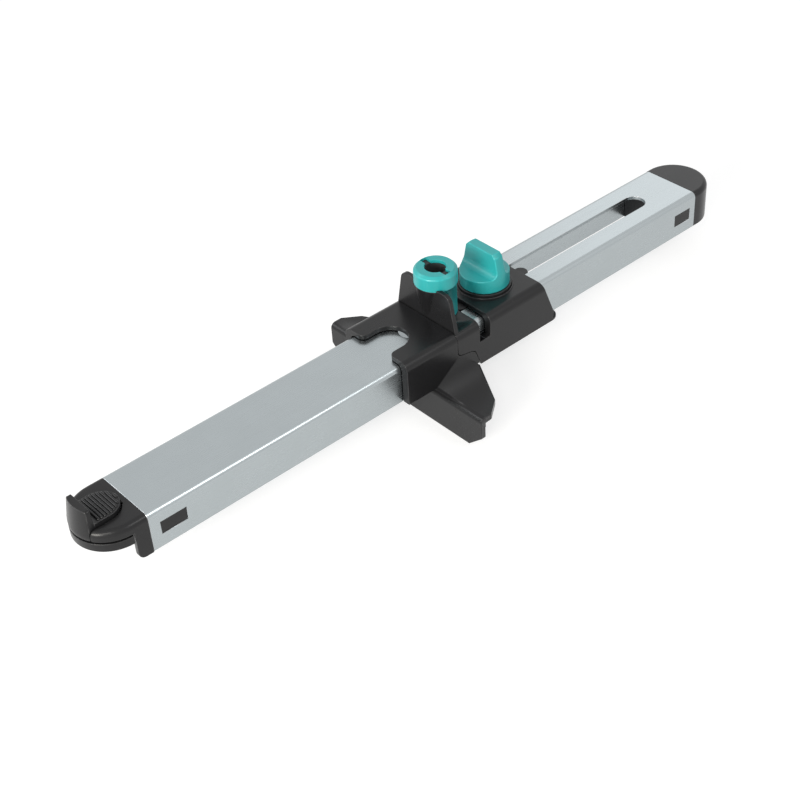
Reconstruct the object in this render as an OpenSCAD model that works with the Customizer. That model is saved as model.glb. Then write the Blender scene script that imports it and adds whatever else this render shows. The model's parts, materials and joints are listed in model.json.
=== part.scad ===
// Laminate scriber: a slotted steel rail with a wall stop at its front end and a
// sliding carriage that holds a pencil and a fence. The rail runs along X.
// The origin is under the middle of the whole tool, on the surface it stands on.

/* [Rail] */
// Length of the steel rail
rail_l = 285; // [260:1:360]
// Width over the outer walls of the rail
rail_w = 28.6; // [27.6:0.2:32]
// Height of the rail
rail_h = 16.6; // [16:0.2:20]
// Thickness of the rail's sheet
rail_t = 1.5; // [1.2:0.1:1.8]
// Outer radius of the rail's long bends
rail_bend_r = 2.4; // [2:0.1:3]
// Width of the slot along the top of the rail
slot_w = 9.5; // [9:0.1:10.4]
// Distance from the rail's front end to the slot
slot_start = 127; // [110:1:130]
// Distance from the slot to the rail's rear end
slot_margin = 19; // [18:0.1:30]
// Length of the front snap windows in the rail's walls
snap_l = 10.8; // [7:0.1:11]
// Length of the rear snap windows
rear_snap_l = 9.8; // [7:0.1:11]
// Height of the snap windows
snap_h = 5.5; // [4:0.1:7]
// Distance from the rail's front end to its snap windows
snap_inset = 4.3; // [4:0.1:6]
// Distance from the rail's rear end to its snap windows
rear_inset = 3.4; // [3:0.1:6]
// Height of the snap windows above the rail's lower edges
snap_z = 5.2; // [4.4:0.1:6.4]

/* [End caps] */
// Length of the straight part of the nose
nose_straight = 6.2; // [6:0.1:9]
// Thickness of the nose deck
deck_t = 4.4; // [4:0.1:5]
// Length of the plugs inside the rail
plug_l = 17; // [16:0.5:24]
// Wall thickness of the caps
cap_wall = 2; // [1.6:0.1:2.4]
// Width of each leg of the front cap along the rail
leg_l = 5.8; // [5:0.1:7]
// Radius of the legs' feet
leg_foot_r = 2.8; // [1:0.1:3.8]
// How far the legs reach below the rail
leg_drop = 0.4; // [0:0.1:1]
// Length of the straight part of the rear cap
rear_straight = 2.6; // [1:0.1:5]
// Radius of the rear cap's upper edge
rear_edge_r = 2.2; // [0.6:0.1:2.4]
// Clearance of a cap inside the rail
plug_gap = 0.1; // [0.05:0.05:0.2]

/* [Wall stop] */
// Travel of the wall stop, the expansion gap it adds
stop_travel = 10; // [6:0.5:10]
// Width of the hook and its thumb pad
pad_w = 14; // [12:0.1:15]
// Height of the thumb pad above the nose
pad_rise = 2.3; // [1.5:0.1:3]
// Height of the hook above the nose
hook_rise = 7.4; // [5:0.1:10]
// Width of the hook at its top
hook_top_w = 12.4; // [10:0.1:14]
// Radius of the hook's upper corners
hook_corner_r = 1.2; // [0.6:0.1:2.5]
// Angle by which the hook's outer face leans back
hook_lean = 9.5; // [4:0.5:11]
// Distance from the nose tip to the hook's inner face
hook_reach = 4.7; // [4.4:0.1:5.4]
// Number of ridges on the thumb pad
ridge_count = 7; // [5:1:8]
// Height of the ridges
ridge_h = 0.5; // [0.3:0.05:0.7]
// Thickness of the stop disc
disc_t = 3.4; // [2.6:0.1:3.6]
// Gap between the nose and the stop disc
disc_gap = 0.8; // [0.6:0.05:1]
// Width of the tongue that guides the stop disc
tongue_w = 18; // [14:0.5:18]
// Length of the tongue behind the nose straight
tongue_l = 15.5; // [14.5:0.5:17]

/* [Carriage] */
// Where the pencil stands along the rail in the rest position
pencil_at = 146; // [143:1:200]
// Clearance between the carriage and the rail
slide_gap = 0.3; // [0.2:0.05:0.4]
// Thickness of the carriage's side walls
side_t = 3.3; // [3:0.1:4]
// Thickness of the carriage's roof
roof_t = 2; // [1.8:0.1:3]
// Radius of the roof's long edges
roof_r = 3.5; // [2:0.1:4]
// Length of the saddle in front of the joint line
saddle_l = 26.1; // [24:0.1:30]
// Distance from the joint line to the pencil
joint_back = 5.9; // [5.7:0.05:6.3]
// Width of the cut-out in the front of the saddle
cutout_w = 15; // [12:0.5:18]
// Length of the cut-out
cutout_l = 14.5; // [12:0.1:17]
// Radius of the corners beside the cut-out
cutout_corner_r = 2.8; // [1:0.1:3.4]
// Gap along the joint between the fence body and the housing
joint_gap = 0.15; // [0.1:0.05:0.25]
// Length of the housing's roof behind the joint line
housing_l = 47.2; // [45:0.1:56]
// How far the housing's sides lean out at the rear
rear_lean = 5.9; // [4:0.1:8]
// How far the housing's sides hang below the rail
housing_hang = 1.2; // [1:0.1:1.6]
// Width of the window across the housing
sight_w = 5.6; // [4:0.1:6]
// Distance from the pencil to the window
sight_back = 5.8; // [5:0.1:6.4]
// Height of the window's lower end above the rail's lower edges
sight_z = 9.7; // [9:0.1:12]

/* [Fence] */
// Width of the fence across the rail
fence_w = 88; // [70:1:110]
// Depth of the fence below the rail
fence_drop = 15.2; // [12:0.1:20]
// Thickness of the fence
fence_t = 2.2; // [2:0.1:4]
// Distance from the saddle's front to the fence face
fence_back = 12.5; // [10:0.1:14]
// Thickness of the wings that carry the fence
wing_t = 2.8; // [2.6:0.1:4]
// Length of the wings along the rail
wing_l = 23.4; // [22:0.1:24.5]
// Radius of the fence's upper front edge
fence_r = 2.4; // [1:0.1:2.8]
// Width of the cut on the fence's lower corners
corner_w = 7; // [4:0.1:9]
// Height of the cut on the fence's lower corners
corner_h = 6.2; // [4:0.1:8]

/* [Pencil holder] */
// Radius of the hole that takes the pencil
pencil_r = 4.1; // [3.9:0.05:4.2]
// Wall of the soft sleeve round the pencil
sleeve_wall = 1.1; // [1:0.05:1.2]
// Wall of the housing's tube round the sleeve
tube_wall = 1.2; // [1.1:0.05:1.4]
// Wall of the holder's skirt
skirt_wall = 1.5; // [1.2:0.05:2]
// Radius of the holder's head
head_r = 8.6; // [8.4:0.1:9.2]
// Height of the holder's head
head_h = 6.6; // [5.5:0.1:8]
// Height of the holder's head above the roof
head_z = 14.1; // [12:0.1:18]
// Chamfer round the top of the head
head_chamfer = 1.2; // [0.6:0.1:1.4]
// Width of the two notches in the head
notch_w = 2.8; // [2:0.1:3.2]
// Thickness of the upright wall in front of the holder
wall_t = 1.9; // [1.6:0.1:2.2]
// Width of the upright wall at its foot
wall_foot_w = 33; // [30:0.2:34]
// Width of the upright wall at its top corners
wall_top_w = 27.8; // [26:0.2:30]
// Height of the upright wall above the roof
wall_h = 15.2; // [14.6:0.1:20]
// Radius of the wall's top corners
wall_corner_r = 3.6; // [2:0.1:4.5]

/* [Clamp] */
// Distance from the pencil to the clamp knob
knob_back = 25.8; // [24.5:0.1:27]
// Radius of the knob's base
knob_r = 10; // [9.5:0.1:11]
// Height of the knob
knob_h = 15.8; // [14:0.1:18]
// Height of the knob's base below the scoops
knob_base_h = 5.9; // [5:0.1:7]
// Thickness of the knob's grip
grip_t = 4.4; // [4:0.1:5]
// Radius of the knob at the top of its grip
grip_r = 8.4; // [8:0.1:9]
// Radius of the scoops' hollow
scoop_r = 3; // [2:0.1:3.4]
// Thickness of the washer under the knob
washer_t = 1.1; // [0.8:0.1:1.6]
// Radius of the bolt's shank
bolt_r = 2.95; // [2.45:0.05:3]
// Running clearance of the bolt in its thread
thread_gap = 0.05; // [0.03:0.01:0.08]
// Width across the flats of the bolt's head
bolt_head_w = 10; // [8:0.5:10]
// Height of the bolt's head
bolt_head_h = 4; // [3:0.1:4]
// Thickness of the clamp plate
plate_t = 2; // [1.6:0.1:2.4]
// Gap between the friction pads and the rail when the knob is loose
clamp_gap = 0.3; // [0.25:0.01:0.4]
// Thickness of the friction pads
pad_t = 0.8; // [0.6:0.1:1]

/* [Screws] */
// Radius of the screws' shanks
screw_r = 1.05; // [0.9:0.05:1.1]
// Radius of the screws' heads
screw_head_r = 1.9; // [1.6:0.1:2]
// Height of the screws' heads
screw_head_h = 1.3; // [1:0.1:1.4]
// Length of the housing screws
housing_screw_l = 14; // [12:0.5:15]

/* [Hidden] */
$fn = 72;
cut_over = 1;
touch = 0.02;
snap_gap = 0.1;
half_w = rail_w / 2;
inner_half = half_w - rail_t;
roof_in = rail_h + slide_gap;
roof_z = roof_in + roof_t;
side_in = half_w + slide_gap;
side_out = side_in + side_t;
nose_x = -nose_straight;
nose_tip = nose_x - half_w;
tail_tip = rail_l + rear_straight + half_w;
mid_x = (nose_tip + tail_tip) / 2;
slot_end = rail_l - slot_margin;

// Nose and wall stop, from the rail's front end
deck_z = rail_h - deck_t;
pad_half = pad_w / 2;
stop_gap = 0.3;
pocket_half = pad_half + stop_gap;
pocket_floor_t = deck_t / 2;
pad_floor_z = deck_z + pocket_floor_t;
hook_x = nose_tip + hook_reach;
pad_end_x = -2.3;
hook_foot = 1.8;
ridge_r = 0.8;
pad_centre_x = pad_end_x - pad_half;
disc_top = deck_z - disc_gap;
disc_z = disc_top - disc_t;
stem_l = 3.4;
stem_half = 3;
stem_front = pad_end_x - stem_l - stop_gap;
tongue_half = tongue_w / 2;
tongue_end = nose_x + tongue_l;
ledge_t = 1.6;
ledge_w = 2;
spring_t = 0.3;
spring_bow = disc_gap - spring_t - stop_gap / 2;
spring_l = 9;
spring_w = 7;
spring_r = (spring_l * spring_l / 4 + spring_bow * spring_bow) / (2 * spring_bow);
spring_x = spring_l / 2 + cap_wall / 2;
end_wall_t = 1.5;

// Carriage, from the pencil's axis
joint_x = -joint_back;
saddle_front = joint_x - saddle_l;
housing_rear = joint_x + housing_l;
fence_x = saddle_front + fence_back;
wing_z = wing_t / 6;
wing_low = wing_z - wing_t;
bar_l = fence_t * 2;
wing_x_shares = [0.235, 0.53, 1];
wing_y_shares = [1, 0.885, 0.44];
ledge_z = 8.6;
ledge_l = 7.4;
ledge_drop = 1;
ledge_round = 1.8;
foot_x = 6;
washer_over = 0.8;
rim_w = 0.7;
rim_h = 0.4;
rim_r = knob_r + washer_over + rim_w;
lip_y = half_w - rail_t;
lip_end = housing_rear + rear_lean * 5 / 6;

// Pencil holder
sleeve_r = pencil_r + sleeve_wall;
tube_gap = 0.05;
tube_in = sleeve_r + tube_gap;
tube_r = tube_in + tube_wall;
skirt_in = tube_r + tube_gap;
skirt_r = skirt_in + skirt_wall;
head_low = roof_z + head_z;
head_top = head_low + head_h;
head_lid_t = 1.6;
lug_sink = 0.9;
lug_edge = 0.2;
lug_end = head_r - head_chamfer - lug_edge;
lug_t = 2.4;
lug_gap = 0.1;
tube_top = head_top - lug_sink - lug_t;
mouth_gap = 0.2;
mouth_r = pencil_r + mouth_gap;
wall_z = roof_z + wall_h;
swell_low_r = joint_back - touch;
swell_inset = 0.2;
swell_top_r = head_r - swell_inset;

// Clamp
knob_z = roof_z + rim_h + washer_t;
floor_fall = 0.9;
grip_edge_r = 1.4;
insert_r = 4.2;
insert_cover = 1.1;
insert_l = knob_base_h - insert_cover;
bore_gap = 0.25;
bolt_top = knob_z + insert_l;
pads_z = rail_h - rail_t - clamp_gap - pad_t;
plate_z = pads_z - plate_t;
carrier_t = 3.4;
carrier_z = plate_z - carrier_t;
carrier_sink = 0.2;
carrier_over = 4.5;
carrier_gap = 0.5;
carrier_top = pads_z + pad_t - carrier_sink;
carrier_front = foot_x + carrier_gap;
carrier_rear = housing_rear + carrier_over;
carrier_half = inner_half - carrier_gap;
carrier_wall = 1.4;
tail_half = 3;
tail_l = 3.2;
plate_gap = 0.1;
plate_margin = 6.3;
plate_front = carrier_front + plate_margin;
plate_rear = carrier_rear - plate_margin;
plate_half = carrier_half - carrier_wall - plate_gap;
pad_strip_w = 4.2;
pad_strip_edge = 0.6;
pad_strip_y = slot_w / 2 + pad_strip_w / 2 + pad_strip_edge;
key_gap = 0.25;
key_half = slot_w / 2 - key_gap;
key_over = 1.2;
key_rise = 0.1;
key_front = foot_x + key_gap;
key_rear = housing_rear + key_over;
key_low = rail_h - rail_t + key_rise;
peg_r = 1.5;
peg_h = roof_t / 2;
peg_shares = [0.2, 0.86];

// Screws that hold the fence body to the housing
screw_y = (side_in + side_out) / 2;
screw_gap = 0.1;
screw_z = wing_low + screw_head_h;

// Puts what is drawn from the rail's front end and lower edges in its place
module placed() {
    translate([-mid_x, 0, fence_drop]) children();
}

// Puts what is drawn from the pencil's axis in its place
module on_carriage() {
    placed() translate([pencil_at, 0, 0]) children();
}

// Extrudes an outline in Y and Z along X
module along_x(x, l) {
    translate([x, 0, 0]) rotate([90, 0, 90]) linear_extrude(l) children();
}

// Extrudes an outline in X and Z across the rail, evenly to both sides
module across(w) {
    translate([0, w / 2, 0]) rotate([90, 0, 0]) linear_extrude(w) children();
}

module both_sides() {
    children();
    mirror([0, 1, 0]) children();
}

// A block from a low corner to a high corner
module block(low, high) {
    translate(low) cube(high - low);
}

// An upright outline with two round upper corners
module arch(half, low, top, r) {
    translate([-half, low]) square([2 * half, top - low - r]);
    translate([-half + r, low]) square([2 * (half - r), top - low]);
    for (side = [-1, 1]) {
        translate([side * (half - r), top - r]) circle(r);
    }
}

// A half disc with a round upper edge, its flat side at x = 0 and its round side to -X
module round_nose(r, low, top, edge) {
    rotate([0, 0, 90]) rotate_extrude(angle = 180) {
        translate([0, low]) square([r - edge, top - low]);
        translate([0, low]) square([r, top - low - edge]);
        translate([r - edge, top - edge]) circle(edge);
    }
}

module rail() {
    color("silver") placed() difference() {
        along_x(0, rail_l) difference() {
            arch(half_w, 0, rail_h, rail_bend_r);
            translate([0, -cut_over]) {
                arch(inner_half, 0, rail_h - rail_t + cut_over, rail_bend_r - rail_t);
            }
        }
        translate([slot_start + slot_w / 2, 0, 0]) cylinder(r = slot_w / 2, h = rail_h + cut_over);
        translate([slot_end - slot_w / 2, 0, 0]) cylinder(r = slot_w / 2, h = rail_h + cut_over);
        block(
            [slot_start + slot_w / 2, -slot_w / 2, 0],
            [slot_end - slot_w / 2, slot_w / 2, rail_h + cut_over]
        );
        block([snap_inset, -rail_w, snap_z], [snap_inset + snap_l, rail_w, snap_z + snap_h]);
        block(
            [rail_l - rear_inset - rear_snap_l, -rail_w, snap_z],
            [rail_l - rear_inset, rail_w, snap_z + snap_h]
        );
    }
}

// The tabs of a cap that snap into the rail's windows
module snap_tabs(x, l) {
    both_sides() block(
        [x + snap_gap, inner_half - cap_wall, snap_z + snap_gap],
        [x + l - snap_gap, half_w - snap_gap, snap_z + snap_h - snap_gap]
    );
}

// The outline of the thumb pad seen from above
module pad_outline(half, front, centre) {
    translate([centre, 0]) circle(half);
    translate([front, -half]) square([centre - front, 2 * half]);
}

module front_cap() {
    plug_half = inner_half - plug_gap;
    plug_top = rail_h - rail_t - plug_gap;
    color("dimgray") placed() difference() {
        union() {
            translate([nose_x, 0, 0]) round_nose(half_w, deck_z, rail_h, rail_bend_r);
            along_x(nose_x, nose_straight) arch(half_w, deck_z, rail_h, rail_bend_r);
            both_sides() translate([0, half_w - cap_wall / 2, 0]) across(cap_wall) intersection() {
                translate([-leg_l, -leg_drop]) square([leg_l, leg_drop + deck_z + touch]);
                translate([leg_foot_r - leg_l, leg_foot_r - leg_drop]) {
                    circle(leg_foot_r);
                    translate([-leg_foot_r, 0]) square([leg_l, deck_z]);
                    translate([0, -leg_foot_r]) square([leg_l, deck_z]);
                }
            }
            block([-end_wall_t, -half_w + touch, 0], [0, half_w - touch, disc_z - ledge_t]);
            along_x(-touch, plug_l + touch) difference() {
                arch(plug_half, 0, plug_top, rail_bend_r - rail_t + plug_gap);
                translate([cap_wall - plug_half, -cut_over]) {
                    square([2 * (plug_half - cap_wall), deck_z + cut_over]);
                }
            }
            both_sides() block(
                [-touch, tongue_half - ledge_w, disc_z - ledge_t - stop_gap],
                [plug_l, plug_half, disc_z - stop_gap]
            );
            snap_tabs(snap_inset, snap_l);
        }
        translate([0, 0, pad_floor_z]) linear_extrude(deck_t) {
            pad_outline(pocket_half, nose_tip - cut_over, pad_centre_x);
        }
        block([nose_tip - cut_over, -pocket_half, 0], [hook_x + stop_gap, pocket_half, rail_h + cut_over]);
        block(
            [stem_front - stop_travel - stop_gap, -stem_half - stop_gap, 0],
            [stem_front + stem_l + stop_gap, stem_half + stop_gap, rail_h]
        );
    }
}

module rear_cap() {
    plug_half = inner_half - plug_gap;
    plug_top = rail_h - rail_t - plug_gap;
    shell_r = half_w - cap_wall;
    color("dimgray") placed() difference() {
        union() {
            translate([rail_l + rear_straight, 0, 0]) mirror([1, 0, 0]) {
                round_nose(half_w, 0, rail_h, rear_edge_r);
            }
            along_x(rail_l, rear_straight) arch(half_w, 0, rail_h, rear_edge_r);
            along_x(rail_l - plug_l + cap_wall, plug_l - cap_wall + touch) {
                arch(plug_half, 0, plug_top, rail_bend_r - rail_t + plug_gap);
            }
            snap_tabs(rail_l - rear_inset - rear_snap_l, rear_snap_l);
        }
        translate([rail_l + rear_straight, 0, -cut_over]) {
            cylinder(r = shell_r, h = rail_h - cap_wall + cut_over);
        }
        block([rail_l, -shell_r, -cut_over], [rail_l + rear_straight, shell_r, rail_h - cap_wall]);
        block(
            [rail_l - plug_l + 2 * cap_wall, -plug_half + cap_wall, -cut_over],
            [rail_l, plug_half - cap_wall, plug_top - cap_wall]
        );
    }
}

// A bowed strip of spring steel between the plug's ceiling and the tongue
module stop_spring() {
    centre_z = deck_z - spring_bow - spring_t / 2 + spring_r;
    color("lightsteelblue") placed() intersection() {
        translate([spring_x, 0, centre_z]) rotate([90, 0, 0]) difference() {
            cylinder(r = spring_r + spring_t / 2, h = spring_w, center = true);
            cylinder(r = spring_r - spring_t / 2, h = spring_w + cut_over, center = true);
        }
        block([spring_x - spring_l / 2, -spring_w, disc_top], [spring_x + spring_l / 2, spring_w, deck_z]);
    }
}

// The hook's outline seen from the front, narrower at its top
module hook_outline(low) {
    top_half = hook_top_w / 2;
    hook_top = rail_h + hook_rise;
    slope = atan((pad_half - top_half) / (hook_top - rail_h));
    centre_y = top_half - hook_corner_r;
    centre_z = hook_top - hook_corner_r;
    polygon([
        [-pad_half, low],
        [pad_half, low],
        [pad_half, rail_h],
        [centre_y + hook_corner_r * cos(slope), centre_z + hook_corner_r * sin(slope)],
        [centre_y, hook_top],
        [-centre_y, hook_top],
        [-centre_y - hook_corner_r * cos(slope), centre_z + hook_corner_r * sin(slope)],
        [-pad_half, rail_h]
    ]);
    for (side = [-1, 1]) {
        translate([side * centre_y, centre_z]) circle(hook_corner_r);
    }
}

module hook_slider() {
    hook_z = deck_z + stop_gap / 2;
    bend_z = rail_h - rail_bend_r;
    ridge_start = hook_x + hook_foot;
    ridge_pitch = (pad_end_x - ridge_start) / ridge_count;
    color("dimgray") placed() difference() {
        union() {
            translate([0, 0, pad_floor_z]) linear_extrude(rail_h + pad_rise - ridge_h - pad_floor_z) {
                pad_outline(pad_half, hook_x - touch, pad_centre_x);
            }
            intersection() {
                translate([0, 0, pad_floor_z]) linear_extrude(rail_h + pad_rise - pad_floor_z) {
                    pad_outline(pad_half - ridge_h, hook_x, pad_centre_x);
                }
                for (i = [0 : ridge_count - 1]) {
                    translate([ridge_start + (i + 0.5) * ridge_pitch, 0, rail_h + pad_rise - ridge_r]) {
                        rotate([90, 0, 0]) cylinder(r = ridge_r, h = pad_w, center = true);
                    }
                }
            }
            intersection() {
                along_x(nose_tip - cut_over, hook_x - nose_tip + cut_over) hook_outline(hook_z);
                translate([nose_x, 0, 0]) union() {
                    translate([0, 0, hook_z]) cylinder(r = half_w, h = bend_z - hook_z + touch);
                    intersection() {
                        translate([0, 0, bend_z]) rotate([0, hook_lean, 0]) {
                            cylinder(r = half_w * cos(hook_lean), h = rail_w, center = true);
                        }
                        block([-rail_w, -rail_w, bend_z], [0, rail_w, rail_h + rail_w]);
                    }
                }
            }
            block(
                [stem_front, -stem_half, disc_top],
                [stem_front + stem_l, stem_half, pad_floor_z + touch]
            );
        }
        translate([stem_front + stem_l / 2, 0, disc_z]) {
            cylinder(r = screw_r, h = disc_t + disc_gap + pocket_floor_t + ridge_h);
        }
    }
}

module stop_disc() {
    color("dimgray") placed() difference() {
        union() {
            intersection() {
                translate([nose_x, 0, disc_z]) cylinder(r = half_w, h = disc_t);
                block([nose_tip - cut_over, -half_w, disc_z], [-leg_l - stop_gap, half_w, disc_top]);
            }
            block([nose_x - stop_gap, -tongue_half, disc_z], [tongue_end, tongue_half, disc_top]);
        }
        translate([stem_front + stem_l / 2, 0, 0]) {
            cylinder(r = screw_r + screw_gap, h = rail_h);
            cylinder(r = screw_head_r + screw_gap, h = disc_z + screw_head_h);
        }
    }
}

// A pan screw that points up, its head below z = 0
module pan_screw(l) {
    difference() {
        union() {
            translate([0, 0, -screw_head_h]) cylinder(r = screw_head_r, h = screw_head_h);
            cylinder(r = screw_r, h = l);
        }
        for (turn = [0, 90]) {
            rotate([0, 0, turn]) block(
                [-screw_head_r * 0.6, -screw_r / 4, -screw_head_h - cut_over],
                [screw_head_r * 0.6, screw_r / 4, -screw_head_h / 2]
            );
        }
    }
}

module stop_screw() {
    l = disc_t - screw_head_h + disc_gap + pocket_floor_t;
    color("lightgray") placed() translate([stem_front + stem_l / 2, 0, disc_z + screw_head_h]) {
        pan_screw(l);
    }
}

// The side outline of the housing's lap over the fence body, moved by a gap
module lap_outline(gap) {
    low = -fence_drop;
    translate([-gap, -gap]) polygon([
        [joint_x, roof_z + wall_h + head_r],
        [joint_x, ledge_z + ledge_round],
        [joint_x + ledge_round * 0.3, ledge_z + ledge_round * 0.3],
        [joint_x + ledge_round, ledge_z],
        [joint_x + ledge_l, ledge_z - ledge_drop],
        [joint_x + ledge_l + ledge_round, ledge_z - ledge_drop - ledge_round * 0.7],
        [foot_x, -housing_hang],
        [foot_x, low],
        [housing_rear + knob_r * 4, low],
        [housing_rear + knob_r * 4, roof_z + wall_h + head_r]
    ]);
}

module carriage_profile(low) {
    difference() {
        arch(side_out, low, roof_z, roof_r);
        translate([0, low - cut_over]) {
            arch(side_in, 0, roof_in - low + cut_over, rail_bend_r);
        }
    }
}

module fence_body() {
    half = fence_w / 2;
    rear = joint_x + ledge_l + ledge_round * 2 + foot_x;
    color("dimgray") on_carriage() difference() {
        union() {
            along_x(saddle_front, rear - saddle_front) carriage_profile(0);
            intersection() {
                along_x(fence_x, max(fence_t, fence_r + touch)) polygon([
                    [-half, wing_z],
                    [half, wing_z],
                    [half, corner_h - fence_drop],
                    [half - corner_w, -fence_drop],
                    [corner_w - half, -fence_drop],
                    [-half, corner_h - fence_drop]
                ]);
                across(fence_w + cut_over) {
                    translate([fence_x, -fence_drop]) square([fence_t, fence_drop + wing_z - fence_r]);
                    translate([fence_x + fence_r, wing_z - fence_r]) circle(fence_r);
                    translate([fence_x + fence_r, wing_low]) square([fence_t, wing_t]);
                }
            }
            translate([0, 0, wing_low]) linear_extrude(wing_t) {
                for (side = [-1, 1]) {
                    polygon([
                        [fence_x + fence_r, 0],
                        [fence_x + fence_r, side * half],
                        for (i = [0 : len(wing_x_shares) - 1]) [
                            fence_x + wing_l * wing_x_shares[i], side * half * wing_y_shares[i]
                        ],
                        [fence_x + wing_l, 0]
                    ]);
                }
            }
        }
        block(
            [fence_x + bar_l, -side_in, wing_low - cut_over],
            [fence_x + wing_l + cut_over, side_in, roof_in - rail_bend_r]
        );
        block([saddle_front - cut_over, -side_in, -slide_gap], [rear, side_in, rail_h - rail_bend_r]);
        across(fence_w) lap_outline(joint_gap);
        translate([saddle_front, 0, rail_h]) linear_extrude(roof_t * 2) {
            translate([cutout_l - cutout_w / 2, 0]) circle(cutout_w / 2);
            translate([-cut_over, -cutout_w / 2]) square([cutout_l - cutout_w / 2 + cut_over, cutout_w]);
            difference() {
                translate([-cut_over, -cutout_w / 2 - cutout_corner_r]) {
                    square([cutout_corner_r + cut_over, cutout_w + 2 * cutout_corner_r]);
                }
                for (side = [-1, 1]) {
                    translate([cutout_corner_r, side * (cutout_w / 2 + cutout_corner_r)]) {
                        circle(cutout_corner_r);
                    }
                }
            }
        }
        both_sides() translate([0, screw_y, 0]) {
            translate([0, 0, wing_low - cut_over]) {
                cylinder(r = screw_r + screw_gap, h = roof_z);
                cylinder(r = screw_head_r + screw_gap, h = screw_head_h + cut_over);
            }
        }
    }
}

// The upright wall's outline seen from the front
module wall_outline() {
    foot = wall_foot_w / 2;
    top = wall_top_w / 2 - wall_corner_r;
    slope = atan((foot - wall_top_w / 2) / wall_h);
    low = roof_in;
    polygon([
        [-foot, low],
        [foot, low],
        [foot, roof_z - roof_r / 4],
        [top + wall_corner_r * cos(slope), wall_z - wall_corner_r + wall_corner_r * sin(slope)],
        [top, wall_z],
        [-top, wall_z],
        [-top - wall_corner_r * cos(slope), wall_z - wall_corner_r + wall_corner_r * sin(slope)],
        [-foot, roof_z - roof_r / 4]
    ]);
    for (side = [-1, 1]) {
        translate([side * top, wall_z - wall_corner_r]) circle(wall_corner_r);
    }
}

module slide_housing() {
    rear = housing_rear + rear_lean;
    color("dimgray") on_carriage() difference() {
        union() {
            intersection() {
                along_x(joint_x, rear - joint_x) carriage_profile(-housing_hang);
                across(fence_w) intersection() {
                    lap_outline(0);
                    polygon([
                        [joint_x, -housing_hang],
                        [lip_end, -housing_hang],
                        [rear, rail_h / 6],
                        [housing_rear + rear_lean / 6, roof_z - roof_r],
                        [housing_rear, roof_z],
                        [joint_x, roof_z]
                    ]);
                }
            }
            both_sides() translate([0, 0, -housing_hang]) linear_extrude(housing_hang - slide_gap) {
                translate([foot_x + roof_t, lip_y]) square([lip_end - foot_x - roof_t, side_out - lip_y]);
                intersection() {
                    translate([lip_end, lip_y]) circle(side_out - lip_y);
                    translate([lip_end - touch, lip_y]) square(side_out);
                }
            }
            along_x(joint_x, wall_t) wall_outline();
            intersection() {
                translate([0, 0, roof_z]) cylinder(r1 = swell_low_r, r2 = swell_top_r, h = head_z);
                block([-head_r, -head_r, roof_z], [joint_x + wall_t, head_r, head_low]);
            }
            intersection() {
                translate([0, 0, roof_in]) cylinder(r = tube_r, h = wall_h);
                block([joint_x, -tube_r, 0], [tube_r, tube_r, wall_z]);
            }
            translate([0, 0, roof_z + wall_h / 2]) {
                cylinder(r = tube_r, h = tube_top - roof_z - wall_h / 2);
            }
            translate([knob_back, 0, roof_in + touch]) cylinder(r = rim_r, h = roof_t + rim_h - touch);
        }
        translate([0, 0, roof_in - cut_over]) cylinder(r = tube_in, h = tube_top);
        translate([0, 0, head_low]) difference() {
            cylinder(r = head_r + tube_gap * 2, h = wall_h);
            cylinder(r = tube_r, h = tube_top - head_low);
        }
        block(
            [sight_back, -side_out - cut_over, sight_z],
            [sight_back + sight_w, side_out + cut_over, roof_z + cut_over]
        );
        translate([knob_back, 0, roof_z]) cylinder(r = rim_r - rim_w, h = rim_h + cut_over);
        translate([knob_back, 0, 0]) cylinder(r = bolt_r + bore_gap, h = roof_z + cut_over);
        for (share = peg_shares) {
            translate([key_front + share * (key_rear - key_front), 0, roof_in - cut_over]) {
                cylinder(r = peg_r + tube_gap, h = peg_h + cut_over + tube_gap);
            }
        }
        both_sides() translate([0, screw_y, 0]) {
            cylinder(r = screw_r, h = screw_z + housing_screw_l + screw_gap);
        }
    }
}

module housing_screws() {
    color("lightgray") on_carriage() both_sides() {
        translate([0, screw_y, screw_z]) pan_screw(housing_screw_l);
    }
}

// The key that runs in the rail's slot and keeps the carriage straight
module slot_key() {
    color("dimgray") on_carriage() difference() {
        union() {
            translate([key_front + key_half, 0, key_low]) cylinder(r = key_half, h = roof_in - key_low);
            translate([key_rear - key_half, 0, key_low]) cylinder(r = key_half, h = roof_in - key_low);
            block([key_front + key_half, -key_half, key_low], [key_rear - key_half, key_half, roof_in]);
            for (share = peg_shares) {
                translate([key_front + share * (key_rear - key_front), 0, key_low]) {
                    cylinder(r = peg_r, h = roof_in - key_low + peg_h);
                }
            }
        }
        translate([knob_back, 0, 0]) cylinder(r = bolt_r + bore_gap, h = roof_z);
    }
}

module pencil_holder() {
    front = joint_x + wall_t + tube_gap * 2;
    color("darkturquoise") on_carriage() difference() {
        union() {
            translate([0, 0, head_low]) cylinder(r = head_r, h = head_h - head_chamfer);
            translate([0, 0, head_top - head_chamfer]) {
                cylinder(r1 = head_r, r2 = head_r - head_chamfer, h = head_chamfer);
            }
            intersection() {
                translate([0, 0, roof_z]) cylinder(r = skirt_r, h = head_z + touch);
                block([front, -head_r, roof_z], [head_r, head_r, head_low + touch]);
            }
        }
        cylinder(r = skirt_in, h = head_top - head_lid_t);
        cylinder(r = mouth_r, h = head_top + cut_over);
        block([-notch_w / 2, -lug_end, tube_top], [notch_w / 2, lug_end, head_top + cut_over]);
    }
}

// The soft sleeve that grips the pencil, keyed to the holder by two lugs
module pencil_sleeve() {
    lug_top = head_top - lug_sink;
    color("darkslategray") on_carriage() difference() {
        union() {
            translate([0, 0, roof_in]) cylinder(r = sleeve_r, h = head_top - head_lid_t - roof_in);
            block(
                [lug_gap - notch_w / 2, lug_gap - lug_end, tube_top],
                [notch_w / 2 - lug_gap, lug_end - lug_gap, lug_top]
            );
        }
        cylinder(r = pencil_r, h = head_top + cut_over);
    }
}

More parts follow.
